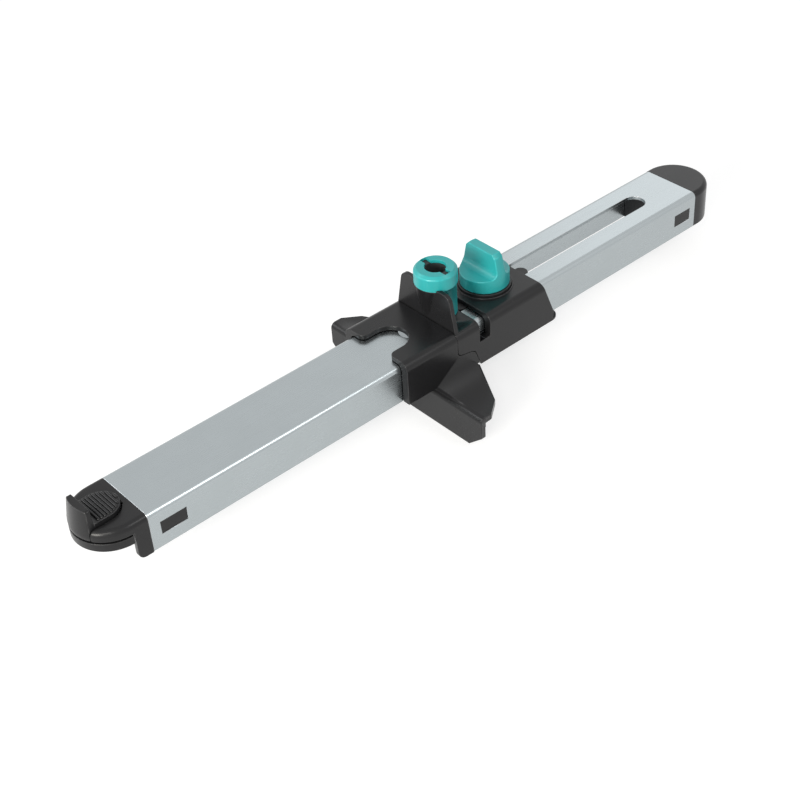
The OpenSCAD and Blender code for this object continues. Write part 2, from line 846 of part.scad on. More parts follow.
module knob_washer() {
    color("black") on_carriage() translate([knob_back, 0, roof_z]) difference() {
        cylinder(r = rim_r - rim_w - tube_gap, h = washer_t + rim_h);
        translate([0, 0, -cut_over]) {
            cylinder(r = bolt_r + bore_gap, h = washer_t + rim_h + 2 * cut_over);
        }
    }
}

// The hollow that is scooped out of one side of the knob, seen along the grip
module scoop_outline() {
    wide = knob_r * 2;
    difference() {
        polygon([
            [grip_t / 2, knob_h + cut_over],
            [grip_t / 2, knob_base_h],
            [grip_t / 2 + scoop_r, knob_base_h],
            [wide, knob_base_h - floor_fall * wide / knob_r],
            [wide, knob_h + cut_over]
        ]);
        translate([grip_t / 2, 0]) difference() {
            square([scoop_r, knob_base_h + scoop_r]);
            translate([scoop_r, knob_base_h + scoop_r]) circle(scoop_r);
        }
    }
}

module clamp_knob() {
    color("darkturquoise") on_carriage() translate([knob_back, 0, knob_z]) difference() {
        rotate_extrude() {
            polygon([
                [0, 0],
                [knob_r, 0],
                [knob_r, knob_base_h + floor_fall],
                [grip_r, knob_h - grip_edge_r],
                [grip_r - grip_edge_r, knob_h],
                [0, knob_h]
            ]);
        }
        across(knob_r * 3) scoop_outline();
        mirror([1, 0, 0]) across(knob_r * 3) scoop_outline();
        translate([0, 0, -cut_over]) cylinder(r = insert_r, h = insert_l + cut_over);
        cylinder(r = bolt_r + bore_gap, h = insert_l + clamp_gap + bore_gap);
    }
}

module knob_insert() {
    color("goldenrod") on_carriage() translate([knob_back, 0, knob_z]) difference() {
        cylinder(r = insert_r, h = insert_l);
        translate([0, 0, -cut_over]) cylinder(r = bolt_r + thread_gap, h = insert_l + 2 * cut_over);
    }
}

module clamp_bolt() {
    head_z = plate_z - bolt_head_h;
    color("lightgray") on_carriage() translate([knob_back, 0, 0]) union() {
        translate([0, 0, head_z]) cylinder(r = bolt_head_w / sqrt(3), h = bolt_head_h, $fn = 6);
        translate([0, 0, plate_z - touch]) cylinder(r = bolt_r, h = bolt_top - plate_z + touch);
    }
}

module clamp_plate() {
    color("silver") on_carriage() difference() {
        block([plate_front, -plate_half, plate_z], [plate_rear, plate_half, pads_z]);
        translate([knob_back, 0, 0]) cylinder(r = bolt_r + tube_gap, h = rail_h);
    }
}

// The moulded carrier that runs inside the rail and holds the plate and the bolt's head
module plate_carrier() {
    color("dimgray") on_carriage() difference() {
        union() {
            block([carrier_front, -carrier_half, carrier_z], [carrier_rear, carrier_half, carrier_top]);
            translate([carrier_rear + tail_l - tail_half, 0, plate_z]) {
                cylinder(r = tail_half, h = carrier_top - plate_z);
            }
            block(
                [carrier_rear - touch, -tail_half, plate_z],
                [carrier_rear + tail_l - tail_half, tail_half, carrier_top]
            );
            translate([knob_back, 0, plate_z - bolt_head_h - carrier_wall]) {
                cylinder(r = bolt_head_w / sqrt(3) + carrier_wall, h = bolt_head_h);
            }
        }
        block(
            [plate_front - plate_gap, -plate_half - plate_gap, plate_z],
            [plate_rear + plate_gap, plate_half + plate_gap, rail_h]
        );
        translate([knob_back, 0, 0]) cylinder(r = bolt_head_w / sqrt(3) + plate_gap, h = rail_h, $fn = 6);
    }
}

module friction_pads() {
    color("black") on_carriage() both_sides() translate([0, pad_strip_y, 0]) block(
        [plate_front + carrier_wall, -pad_strip_w / 2, pads_z],
        [plate_rear - carrier_wall, pad_strip_w / 2, pads_z + pad_t]
    );
}

rail();
front_cap();
rear_cap();
stop_spring();
hook_slider();
stop_disc();
stop_screw();
fence_body();
slide_housing();
housing_screws();
slot_key();
pencil_holder();
pencil_sleeve();
knob_washer();
clamp_knob();
knob_insert();
clamp_bolt();
clamp_plate();
plate_carrier();
friction_pads();
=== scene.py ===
"""Dresses the laminate scriber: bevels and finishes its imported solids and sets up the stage."""

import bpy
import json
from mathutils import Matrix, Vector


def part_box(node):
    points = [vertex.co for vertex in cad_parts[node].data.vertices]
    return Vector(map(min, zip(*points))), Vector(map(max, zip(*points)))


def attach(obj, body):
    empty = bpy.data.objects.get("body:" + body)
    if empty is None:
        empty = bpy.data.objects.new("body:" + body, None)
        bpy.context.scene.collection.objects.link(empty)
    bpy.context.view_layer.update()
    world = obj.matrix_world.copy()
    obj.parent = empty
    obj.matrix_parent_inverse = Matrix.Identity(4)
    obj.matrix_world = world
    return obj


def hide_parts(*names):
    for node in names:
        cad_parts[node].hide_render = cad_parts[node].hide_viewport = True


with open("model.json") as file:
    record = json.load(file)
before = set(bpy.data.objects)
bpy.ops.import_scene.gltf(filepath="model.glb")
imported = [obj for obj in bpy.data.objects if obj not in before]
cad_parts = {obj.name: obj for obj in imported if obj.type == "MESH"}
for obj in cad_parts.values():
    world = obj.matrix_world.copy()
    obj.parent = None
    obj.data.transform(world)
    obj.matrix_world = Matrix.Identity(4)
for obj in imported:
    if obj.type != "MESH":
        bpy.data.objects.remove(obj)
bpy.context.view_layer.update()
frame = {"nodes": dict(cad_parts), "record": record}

import json
import math

import bmesh
import bpy
from bpy.props import FloatProperty, FloatVectorProperty, IntProperty, PointerProperty
from bpy.types import Operator, Panel, PropertyGroup
from mathutils import Matrix, Vector

bl_info = {
    "name": "Laminate scriber",
    "version": (1, 0, 0),
    "blender": (4, 5, 0),
    "location": "View3D > Sidebar > Scriber",
    "description": "Dresses a laminate scriber with bevels, ribs, screws and finishes",
    "category": "Object",
}

MM = 0.001

# The face attribute that is 1 on bevels. The finishes paint edge wear there, and on the mouldings
# a painted edge highlight.
WEAR_AND_HIGHLIGHT = "edge_wear_and_highlight"

# How a copied mesh is cleaned: points this close are one, smaller scraps vanish,
# and faces that turn by less than this are one flat face.
WELD = 0.03 * MM
SCRAP = 0.005 * MM
FLAT = math.radians(0.5)

# Outer edges that turn by more than SHARP are bevelled. Where a tree makes a mesh,
# edges that turn by more than CREASE stay crisp.
SHARP = math.radians(30.0)
CREASE = math.radians(38.0)

# How strongly wide faces pull the normals beside them, of 100.
WIDE_FACE_PULL = 80


# ---------------------------------------------------------------- node trees


class Link:
    """An output socket that takes part in sums, so that a mask reads as a formula."""

    def __init__(self, tree, socket):
        self.tree = tree
        self.socket = socket

    def _sum(self, operation, first, second):
        return self.tree.node("ShaderNodeMath", {"operation": operation}, {0: first, 1: second})

    def __add__(self, other):
        return self._sum("ADD", self, other)

    def __radd__(self, other):
        return self._sum("ADD", other, self)

    def __sub__(self, other):
        return self._sum("SUBTRACT", self, other)

    def __rsub__(self, other):
        return self._sum("SUBTRACT", other, self)

    def __mul__(self, other):
        return self._sum("MULTIPLY", self, other)

    def __rmul__(self, other):
        return self._sum("MULTIPLY", other, self)

    def __truediv__(self, other):
        return self._sum("DIVIDE", self, other)

    def least(self, other):
        return self._sum("MINIMUM", self, other)

    def most(self, other):
        return self._sum("MAXIMUM", self, other)

    def root(self):
        return self._sum("SQRT", self, 0.0)

    def between(self, none, full):
        """A smooth step from 0 at none to 1 at full, which may be the lower of the two."""
        return self.tree.node(
            "ShaderNodeMapRange",
            {"interpolation_type": "SMOOTHSTEP"},
            {"Value": self, "From Min": none, "From Max": full},
        )


class Tree:
    """A shader or geometry tree that is built one node at a time."""

    def __init__(self, owner):
        self.nodes = owner.nodes
        self.links = owner.links

    def node(self, kind, settings=None, inputs=None, output=0):
        """Adds a node, sets it up, fills its sockets and returns one of its outputs.

        An input is a value, a link, or a list of links for a socket that takes several.
        """
        made = self.nodes.new(kind)
        for name, value in (settings or {}).items():
            setattr(made, name, value)
        for name, value in (inputs or {}).items():
            for one in value if isinstance(value, list) else [value]:
                if isinstance(one, Link):
                    self.links.new(one.socket, made.inputs[name])
                else:
                    made.inputs[name].default_value = one
        return Link(self, made.outputs[output]) if len(made.outputs) else made

    def join(self, x, y, z):
        return self.node("ShaderNodeCombineXYZ", None, {0: x, 1: y, 2: z})

    def parts(self, vector):
        first = self.node("ShaderNodeSeparateXYZ", None, {0: vector})
        return [Link(self, socket) for socket in first.socket.node.outputs]


class Finish(Tree):
    """A material that is built from patterns in object coordinates.

    A pattern's scale is its number of features in a metre.
    """

    def __init__(self, name):
        self.material = bpy.data.materials.new(name)
        self.material.use_nodes = True
        super().__init__(self.material.node_tree)
        self.nodes.clear()
        self.place = self.node("ShaderNodeTexCoord", output="Object")
        self.x, self.y, self.z = self.parts(self.place)

    def stretched(self, x, y, z):
        """Object coordinates with each axis scaled."""
        return self.node(
            "ShaderNodeVectorMath", {"operation": "MULTIPLY"}, {0: self.place, 1: (x, y, z)}
        )

    def noise(self, scale, detail=2.0, roughness=0.5, vector=None):
        return self.node(
            "ShaderNodeTexNoise",
            None,
            {
                "Vector": vector or self.place,
                "Scale": scale,
                "Detail": detail,
                "Roughness": roughness,
            },
        )

    def streaks(self, along, across, detail=2.0, roughness=0.5):
        """Noise drawn out along the rail."""
        return self.noise(1.0, detail, roughness, self.stretched(along, across, across))

    def cells(self, scale):
        return self.node("ShaderNodeTexVoronoi", None, {"Vector": self.place, "Scale": scale})

    def worn(self):
        """1 on the bevels, 0 on the faces between them."""
        return self.node("ShaderNodeAttribute", {"attribute_name": WEAR_AND_HIGHLIGHT}, output="Fac")

    def blend(self, factor, first, second):
        """Mixes two colours, each a link or three numbers."""
        colours = [c if isinstance(c, Link) else (*c, 1.0) for c in (first, second)]
        return self.node(
            "ShaderNodeMix",
            {"data_type": "RGBA"},
            {0: factor, 6: colours[0], 7: colours[1]},
            output=2,
        )

    def shaded(self, colour, factor):
        """A plain colour that is multiplied by a number that varies."""
        return self.node(
            "ShaderNodeVectorMath", {"operation": "SCALE"}, {0: (*colour,), "Scale": factor}
        )

    def bump(self, height, depth, strength, under=None):
        """A relief of this depth in metres, on top of the one under it."""
        inputs = {"Height": height, "Distance": depth, "Strength": strength}
        if under:
            inputs["Normal"] = under
        return self.node("ShaderNodeBump", None, inputs)

    def surface(self, **sockets):
        """Ends the material in one Principled shader."""
        named = {name.replace("_", " "): value for name, value in sockets.items()}
        shader = self.node("ShaderNodeBsdfPrincipled", None, named)
        self.node("ShaderNodeOutputMaterial", None, {"Surface": shader})
        return self.material


# ---------------------------------------------------------------- finishes


def zinc_steel(name, colour):
    """Zinc plated sheet: rolled along the rail, softly clouded, bare on its cut edges."""
    f = Finish(name)
    rolled = f.streaks(22.0, 2600.0, detail=4.0, roughness=0.65)
    bands = f.streaks(4.0, 420.0)
    clouds = f.noise(85.0, detail=3.0, roughness=0.55)
    specks = f.cells(1500.0).between(0.16, 0.05) * f.noise(300.0).between(0.55, 0.7)
    scratches = f.streaks(16.0, 5200.0).between(0.66, 0.74)
    tone = 0.94 + 0.07 * clouds + 0.03 * rolled + 0.03 * bands
    tone = tone - 0.1 * specks - 0.05 * scratches
    bare_steel = f.shaded((0.46, 0.47, 0.48), 0.8 + 0.4 * f.noise(1800.0))
    patchy_edges = f.worn() * f.noise(260.0, detail=3.0).between(0.35, 0.55)
    height = 0.4 * rolled + 0.2 * bands - 0.3 * scratches
    return f.surface(
        Base_Color=f.blend(patchy_edges, f.shaded(colour, tone), bare_steel),
        Metallic=1.0,
        Roughness=0.2 + 0.08 * clouds + 0.06 * rolled + 0.08 * scratches,
        Normal=f.bump(height, 0.003 * MM, 0.5),
    )


def moulded(name, colour, grain, roughness, edge, gloss=0.5):
    """Moulded plastic: a fine grain, faint handling marks, and a painted highlight that makes the
    edges paler by the factor edge.
    """
    f = Finish(name)
    pits = f.noise(grain, detail=3.0, roughness=0.6)
    smudges = f.noise(42.0, detail=3.0, roughness=0.6, vector=f.stretched(1.0, 1.4, 0.8))
    flow = f.streaks(24.0, 60.0)
    cross_marks = f.noise(1.0, detail=3.0, roughness=0.6, vector=f.stretched(380.0, 60.0, 380.0))
    dust = (0.5, 0.5, 0.5)
    # Painted highlight: the bevels are paled in patches, standing in for light glinting off the
    # rounded edges.
    patchy_edges = f.worn() * f.noise(330.0, detail=3.0, roughness=0.6).between(0.3, 0.62)
    body = f.shaded(colour, 0.9 + 0.14 * smudges + 0.06 * flow)
    dusted = f.blend(0.05 * cross_marks.between(0.7, 0.78), body, dust)
    # The paler colour of the painted edge highlight.
    pale = [min(1.0, part * edge + 0.012 * edge) for part in colour]
    return f.surface(
        Base_Color=f.blend(0.7 * patchy_edges, dusted, pale),
        Specular_IOR_Level=gloss,
        Roughness=roughness + 0.1 * smudges + 0.05 * pits - 0.06 * patchy_edges,
        Normal=f.bump(pits, 0.012 * MM, 0.5, under=f.bump(smudges, 0.02 * MM, 0.4)),
    )


def rubber(name, colour):
    """Soft moulded rubber with a dusty bloom."""
    f = Finish(name)
    grain = f.noise(2600.0, detail=3.0, roughness=0.6)
    bloom = f.noise(120.0, detail=3.0, roughness=0.6)
    lint = f.cells(900.0).between(0.12, 0.04) * f.noise(200.0).between(0.5, 0.7)
    dust = (0.09, 0.09, 0.095)
    return f.surface(
        Base_Color=f.blend(0.25 * bloom + 0.3 * lint, colour, dust),
        Roughness=0.62 + 0.16 * bloom,
        Normal=f.bump(grain, 0.02 * MM, 0.6),
    )


def turned_metal(name, colour, roughness, axis):
    """Turned or rolled hardware: rings round the knob's axis, light tarnish, brighter edges."""
    f = Finish(name)
    x, y = f.x - axis.x, f.y - axis.y
    radius = (x * x + y * y).root()
    rings = f.noise(1.0, 3.0, 0.6, vector=f.join(radius * 5200.0, f.z * 2600.0, 0.0))
    tarnish = f.noise(420.0, detail=4.0, roughness=0.6)
    tone = 0.82 + 0.2 * rings + 0.14 * tarnish + 0.2 * f.worn()
    return f.surface(
        Base_Color=f.shaded(colour, tone),
        Metallic=1.0,
        Roughness=roughness + 0.12 * tarnish + 0.08 * rings,
        Normal=f.bump(rings, 0.006 * MM, 0.5),
    )


def white_rays(tree):
    """1 for the rays that see white: the camera's and those off metal or through glass."""
    path = tree.nodes.new("ShaderNodeLightPath")
    camera, glossy, through = (
        Link(tree, path.outputs[f"Is {kind} Ray"]) for kind in ("Camera", "Glossy", "Transmission")
    )
    return camera.most(glossy).most(through)


def ground_paper(colour, glow):
    """Paper underfoot that keeps the shadow and glows white to the camera."""
    f = Finish("ground_paper")
    fibre = f.noise(900.0, detail=3.0, roughness=0.6)
    paper = f.node(
        "ShaderNodeBsdfPrincipled",
        None,
        {
            "Base Color": f.shaded(colour, 0.98 + 0.02 * fibre),
            "Roughness": 0.95,
            "Specular IOR Level": 0.0,
        },
    )
    light = f.node("ShaderNodeEmission", None, {"Strength": glow * white_rays(f)})
    both = f.node("ShaderNodeAddShader", None, {0: paper, 1: light})
    f.node("ShaderNodeOutputMaterial", None, {"Surface": both})
    return f.material


def finish(kind):
    """The finish of that name, made once."""
    name = f"{kind}_finish"
    if name in bpy.data.materials:
        return bpy.data.materials[name]
    looks = bpy.context.scene.scriber_finish
    grain = looks.grain
    axis = centre("clamp_knob")
    makers = {
        "zinc_steel": lambda: zinc_steel(name, looks.zinc),
        # The factor edge sets how strongly the painted edge highlight pales each plastic's bevels.
        "black_plastic": lambda: moulded(name, looks.black, grain, 0.22, edge=2.4, gloss=0.3),
        "teal_plastic": lambda: moulded(name, looks.teal, grain * 1.3, 0.3, edge=1.25),
        "slip_plastic": lambda: moulded(name, looks.slip, grain, 0.42, edge=1.1),
        "soft_rubber": lambda: rubber(name, looks.rubber),
        "screw_steel": lambda: turned_metal(name, looks.screw, 0.26, axis),
        "spring_steel": lambda: turned_metal(name, looks.spring, 0.3, axis),
        "brass": lambda: turned_metal(name, looks.brass, 0.28, axis),
    }
    return makers[kind]()


# ---------------------------------------------------------------- meshes


def centre(node):
    low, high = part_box(node)
    return (low + high) / 2


def merged(data):
    """A bmesh of a mesh whose loose triangles are joined and whose flat faces are whole."""
    mesh = bmesh.new()
    mesh.from_mesh(data)
    bmesh.ops.remove_doubles(mesh, verts=mesh.verts, dist=WELD)
    bmesh.ops.dissolve_degenerate(mesh, edges=mesh.edges, dist=SCRAP)
    bmesh.ops.dissolve_limit(mesh, angle_limit=FLAT, verts=mesh.verts, edges=mesh.edges)
    return mesh


def merged_copy(node):
    return merged(frame["nodes"][node].data)


def linked(name, data):
    """A new object in the scene that shows this data."""
    thing = bpy.data.objects.new(name, data)
    bpy.context.scene.collection.objects.link(thing)
    return thing


def as_object(mesh, name):
    """Turns a bmesh into an object."""
    data = bpy.data.meshes.new(name)
    mesh.to_mesh(data)
    mesh.free()
    return linked(name, data)


def settled(piece):
    """Turns what the modifiers make into the piece's own mesh and drops them."""
    graph = bpy.context.evaluated_depsgraph_get()
    graph.update()
    data = bpy.data.meshes.new_from_object(
        piece.evaluated_get(graph), preserve_all_data_layers=True, depsgraph=graph
    )
    piece.modifiers.clear()
    old = piece.data
    piece.data = data
    bpy.data.meshes.remove(old)


def sharp_edges(mesh):
    return [
        edge
        for edge in mesh.edges
        if len(edge.link_faces) == 2 and edge.is_convex and edge.calc_face_angle() > SHARP
    ]


def tuck_in(mesh, width):
    """Joins loose vertices to the sharp edges beside them, so that no bevel runs over them."""
    rims = {vertex for edge in sharp_edges(mesh) for vertex in edge.verts}
    moves = {}
    for edge in mesh.edges:
        inside = [vertex for vertex in edge.verts if vertex not in rims]
        if len(inside) == 1 and edge.calc_length() < width:
            moves[inside[0]] = edge.other_vert(inside[0])
    bmesh.ops.weld_verts(mesh, targetmap=moves)


def weigh_edges(mesh, share=None):
    """Marks the sharp outer edges for the bevel, with the share of its width each one gets."""
    weights = mesh.edges.layers.float.new("bevel_weight_edge")
    for edge in sharp_edges(mesh):
        middle = (edge.verts[0].co + edge.verts[1].co) / 2
        edge[weights] = share(middle) if share else 1.0


def bevelled(piece, width, segments):
    """Rounds the marked edges and marks the faces that this makes. The finishes paint edge wear
    and edge highlights on those faces.
    """
    faces, rounds = 0, 1
    data = piece.data
    data.materials.clear()
    for _ in (faces, rounds):
        data.materials.append(None)
    data.shade_smooth()
    bevel = piece.modifiers.new("round", "BEVEL")
    bevel.limit_method = "WEIGHT"
    bevel.width = width
    bevel.segments = segments
    bevel.use_clamp_overlap = False
    bevel.miter_outer = "MITER_ARC"
    bevel.loop_slide = False
    bevel.material = rounds
    normals = piece.modifiers.new("flat faces", "WEIGHTED_NORMAL")
    normals.keep_sharp = True
    normals.weight = WIDE_FACE_PULL
    settled(piece)
    data = piece.data
    layer = data.attributes.new(WEAR_AND_HIGHLIGHT, "FLOAT", "FACE")
    for face in data.polygons:
        layer.data[face.index].value = float(face.material_index == rounds)
        face.material_index = faces


def fitted(piece, kind, body, *nodes):
    """Gives a piece its finish and its body, and lets it stand for CAD nodes."""
    piece.data.materials.clear()
    piece.data.materials.append(finish(kind))
    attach(piece, body)
    if nodes:
        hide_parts(*nodes)


def body_of(node):
    bodies = frame["record"]["behaviour"]["bodies"]
    return next(body for body, members in bodies.items() if node in members)


def dressed(node, kind, width, segments=2, share=None, tuck=False):
    """Makes a bevelled copy of a CAD node that stands for it."""
    mesh = merged_copy(node)
    if tuck:
        tuck_in(mesh, width)
    weigh_edges(mesh, share)
    piece = as_object(mesh, f"{node}_dressed")
    bevelled(piece, width, segments)
    fitted(piece, kind, body_of(node), node)


# ---------------------------------------------------------------- geometry nodes


class Shape(Tree):
    """A geometry tree with named inputs for its sizes."""

    def __init__(self, name, sizes):
        self.group = bpy.data.node_groups.new(name, "GeometryNodeTree")
        super().__init__(self.group)
        self.values = sizes
        face = self.group.interface
        face.new_socket("Geometry", in_out="INPUT", socket_type="NodeSocketGeometry")
        face.new_socket("Geometry", in_out="OUTPUT", socket_type="NodeSocketGeometry")
        face.new_socket("Finish", in_out="INPUT", socket_type="NodeSocketMaterial")
        for label, value in sizes.items():
            kind = "NodeSocketInt" if isinstance(value, int) else "NodeSocketFloat"
            face.new_socket(label, in_out="INPUT", socket_type=kind)
        source = self.nodes.new("NodeGroupInput")
        self.given = {s.name: Link(self, s) for s in source.outputs if s.name}

    def __getitem__(self, label):
        return self.given[label]

    def moved(self, geometry, x=0.0, y=0.0, z=0.0):
        return self.node(
            "GeometryNodeTransform",
            None,
            {"Geometry": geometry, "Translation": self.join(x, y, z)},
        )

    def block(self, size, at=(0.0, 0.0, 0.0)):
        """A block of this size round its middle."""
        cube = self.node("GeometryNodeMeshCube", None, {"Size": self.join(*size)})
        return self.moved(cube, *at)

    def prism(self, sides, radius, height):
        return self.node(
            "GeometryNodeMeshCylinder",
            None,
            {"Vertices": sides, "Radius": radius, "Depth": height},
        )

    def line(self, start, end):
        return self.node(
            "GeometryNodeCurvePrimitiveLine", None, {0: self.join(*start), 1: self.join(*end)}
        )

    def ring(self, sides, radius):
        return self.node(
            "GeometryNodeCurvePrimitiveCircle", None, {"Resolution": sides, "Radius": radius}
        )

    def rounded_oblong(self, width, height, radius):
        """An outline with ten steps in each rounded corner."""
        outline = self.node(
            "GeometryNodeCurvePrimitiveQuadrilateral", None, {"Width": width, "Height": height}
        )
        return self.node(
            "GeometryNodeFilletCurve",
            {"mode": "POLY"},
            {"Curve": outline, "Count": 10, "Radius": radius, "Limit Radius": True},
        )

    def swept(self, path, outline, closed=True):
        """An outline drawn along a path, with its ends closed or open."""
        return self.node(
            "GeometryNodeCurveToMesh",
            None,
            {"Curve": path, "Profile Curve": outline, "Fill Caps": closed},
        )

    def together(self, *parts):
        return self.node("GeometryNodeJoinGeometry", None, {0: list(parts)})

    def without(self, solid, *cutters):
        """A solid with the cutters taken away from it."""
        return self.node(
            "GeometryNodeMeshBoolean", {"operation": "DIFFERENCE"}, {0: solid, 1: list(cutters)}
        )

    def at_points(self, thing):
        """A copy of a thing on each vertex of the object that the tree runs on."""
        return self.node(
            "GeometryNodeInstanceOnPoints", None, {"Points": self["Geometry"], "Instance": thing}
        )

    def end(self, geometry):
        """Realizes what was instanced, gives it the finish and closes the tree."""
        solid = self.node("GeometryNodeRealizeInstances", None, {"Geometry": geometry})
        smooth = self.node("GeometryNodeSetShadeSmooth", None, {"Geometry": solid})
        done = self.node(
            "GeometryNodeSetMaterial", None, {"Geometry": smooth, "Material": self["Finish"]}
        )
        sink = self.nodes.new("NodeGroupOutput")
        self.links.new(done.socket, sink.inputs[0])
        return self

    def grown(self, piece, kind):
        """Runs the tree on a piece and keeps the plain mesh that it makes."""
        modifier = piece.modifiers.new(self.group.name, "NODES")
        modifier.node_group = self.group
        given = {**self.values, "Finish": finish(kind)}
        for item in self.group.interface.items_tree:
            if item.in_out == "INPUT" and item.name in given:
                modifier[item.identifier] = given[item.name]
        settled(piece)
        piece.data.set_sharp_from_angle(angle=CREASE)


def points(name, *places):
    """An object whose vertices are where a geometry tree puts its copies."""
    data = bpy.data.meshes.new(name)
    data.from_pydata(places, [], [])
    return linked(name, data)


def thumb_ribs(sizes):
    """Round ribs across the thumb pad, each as long as the pad is wide there."""
    s = Shape("thumb ribs", sizes)
    row = s.node(
        "GeometryNodeMeshLine",
        {"mode": "OFFSET"},
        {
            "Count": s["Count"],
            "Start Location": s.join(s["First X"], 0.0, s["Centre Z"]),
            "Offset": s.join(s["Pitch"], 0.0, 0.0),
        },
    )
    x = s.parts(s.node("GeometryNodeInputPosition"))[0]
    beyond = (x - s["Round X"]).most(0.0)
    half = (s["Half Width"] * s["Half Width"] - beyond * beyond).most(0.0).root()
    rods = s.node(
        "GeometryNodeInstanceOnPoints",
        None,
        {
            "Points": row,
            "Instance": s.line((0.0, -1.0, 0.0), (0.0, 1.0, 0.0)),
            "Scale": s.join(1.0, half, 1.0),
        },
    )
    real = s.node("GeometryNodeRealizeInstances", None, {"Geometry": rods})
    dense = s.node("GeometryNodeResampleCurve", None, {"Curve": real, "Count": s["Steps"]})
    along = s.node("GeometryNodeSplineParameter", output="Length")
    length = s.node("GeometryNodeSplineLength", output="Length")
    from_tip = (along.least(length - along) / s["Radius"]).least(1.0)
    short = 1.0 - from_tip
    smallest = 0.04
    taper = (1.0 - short * short).most(smallest).root()
    tapered = s.node("GeometryNodeSetCurveRadius", None, {"Curve": dense, "Radius": taper})
    return s.end(
        s.node(
            "GeometryNodeCurveToMesh",
            None,
            {
                "Curve": tapered,
                "Profile Curve": s.ring(20, s["Radius"]),
                "Fill Caps": True,
                "Scale": taper,
            },
        )
    )


def folded_rail(sizes):
    """A channel that opens downwards, with a slot in its top and windows in its sides.

    It is folded from two rounded boxes that reach as far below its foot as above it,
    and the lower half is cut away.
    """
    s = Shape("folded rail", sizes)
    length, width, height, sheet = s["Length"], s["Width"], s["Height"], s["Sheet"]
    over = 2 * MM
    generous = 1.2
    # A radius of exactly half the slot's width would double points at its ends.
    nearly_half = 0.499

    def rounded_box(wide, high, radius, start, end):
        path = s.line((start, 0.0, 0.0), (end, 0.0, 0.0))
        return s.swept(path, s.rounded_oblong(wide, high, radius))

    outside = rounded_box(width, height * 2.0, s["Bend"], 0.0, length)
    inside = rounded_box(
        width - sheet * 2.0, (height - sheet) * 2.0, s["Bend"] - sheet, -over, length + over
    )
    below = s.block(
        (length * generous, width * generous, height * 2.0), (length * 0.5, 0.0, height * -1.0)
    )
    middle = (s["Slot End"] + s["Slot Start"]) * 0.5
    upright = s.line((middle, 0.0, height * 0.5), (middle, 0.0, height * 2.0))
    slot_width = s["Slot Width"]
    slot_length = s["Slot End"] - s["Slot Start"]
    slot = s.swept(upright, s.rounded_oblong(slot_length, slot_width, slot_width * nearly_half))
    window_z = s["Window Low"] + s["Window Height"] * 0.5
    windows = [
        s.block((long, width * 2.0, s["Window Height"]), (start + long * 0.5, 0.0, window_z))
        for start, long in (
            (s["Front Inset"], s["Front Window"]),
            (length - s["Rear Inset"] - s["Rear Window"], s["Rear Window"]),
        )
    ]
    channel = s.without(outside, inside, below, slot, *windows)
    return s.end(s.moved(channel, s["Front X"], 0.0, s["Foot Z"]))


def threaded(s, radius, length, pitch, start):
    """A screw's shank with a thread wound round it, from start upwards."""
    crest_radius = pitch * 0.45
    core_radius = radius - crest_radius
    core = s.moved(s.prism(32, core_radius, length), z=start + length * 0.5)
    spiral = s.node(
        "GeometryNodeCurveSpiral",
        None,
        {
            "Resolution": 24,
            "Rotations": length / pitch - 1.0,
            "Start Radius": core_radius,
            "End Radius": core_radius,
            "Height": length - pitch,
        },
    )
    wound = s.swept(spiral, s.ring(3, crest_radius), closed=False)
    return s.together(core, s.moved(wound, z=start + pitch * 0.5))


def pan_screws(sizes):
    """Pan screws that point up from their heads' undersides, with a crossed recess."""
    s = Shape("pan screws", sizes)
    radius, height = s["Head Radius"], s["Head Height"]
    round_sides = 48
    # The parts of the head, as shares of its height.
    rim_height, dome_height, dome_middle = 0.6, 0.8, 0.1
    recess_middle, seat = -0.75, -0.3
    rim = s.prism(round_sides, radius, height * rim_height)
    ball = s.node(
        "GeometryNodeMeshUVSphere",
        None,
        {"Segments": round_sides, "Rings": round_sides // 2, "Radius": 1.0},
    )
    dome = s.node(
        "GeometryNodeTransform",
        None,
        {
            "Geometry": ball,
            "Translation": s.join(0.0, 0.0, height * dome_middle),
            "Scale": s.join(radius, radius, height * dome_height),
        },
    )
    pan = s.node(
        "GeometryNodeMeshBoolean", {"operation": "UNION", "solver": "EXACT"}, {1: [rim, dome]}
    )
    bars = [
        s.node("GeometryNodeMeshCube", None, {"Size": s.join(s[wide], s[deep], height)})
        for wide, deep in (("Recess Length", "Recess Width"), ("Recess Width", "Recess Length"))
    ]
    cross = s.node("GeometryNodeMeshBoolean", {"operation": "UNION"}, {1: bars})
    head = s.without(pan, s.moved(cross, z=height * recess_middle))
    shank = threaded(s, s["Shank Radius"], s["Length"], s["Pitch"], 0.0)
    return s.end(s.at_points(s.together(s.moved(head, z=height * seat), shank)))


def hex_bolt(sizes):
    """A bolt that points up from its chamfered six-sided head."""
    s = Shape("hex bolt", sizes)
    radius, height = s["Head Radius"], s["Head Height"]
    # The cone that chamfers the head, as shares of the head's radius and height.
    wide, narrow, depth, middle = 1.9, 0.86, 2.0, -0.52
    cone = s.node(
        "GeometryNodeMeshCone",
        None,
        {
            "Vertices": 64,
            "Radius Top": radius * wide,
            "Radius Bottom": radius * narrow,
            "Depth": height * depth,
        },
    )
    hexagon = s.prism(6, radius, height)
    head = s.node(
        "GeometryNodeMeshBoolean",
        {"operation": "INTERSECT"},
        {1: [hexagon, s.moved(cone, z=height * middle)]},
    )
    shank = threaded(s, s["Shank Radius"], s["Length"], s["Pitch"], height)
    return s.end(s.at_points(s.together(s.moved(head, z=height * 0.5), shank)))


# ---------------------------------------------------------------- settings


def colour_of(label, value, text):
    return FloatVectorProperty(
        name=label, description=text, default=value, size=3, subtype="COLOR", min=0.0, max=1.0
    )


def length_of(label, millimetres, text, most=100.0):
    return FloatProperty(
        name=label,
        description=text,
        default=millimetres * MM,
        min=0.0,
        max=most * MM,
        unit="LENGTH",
        subtype="DISTANCE",
        precision=5,
    )


def number_of(label, value, text, least=None):
    limits = {} if least is None else {"min": least}
    return FloatProperty(name=label, description=text, default=value, **limits)


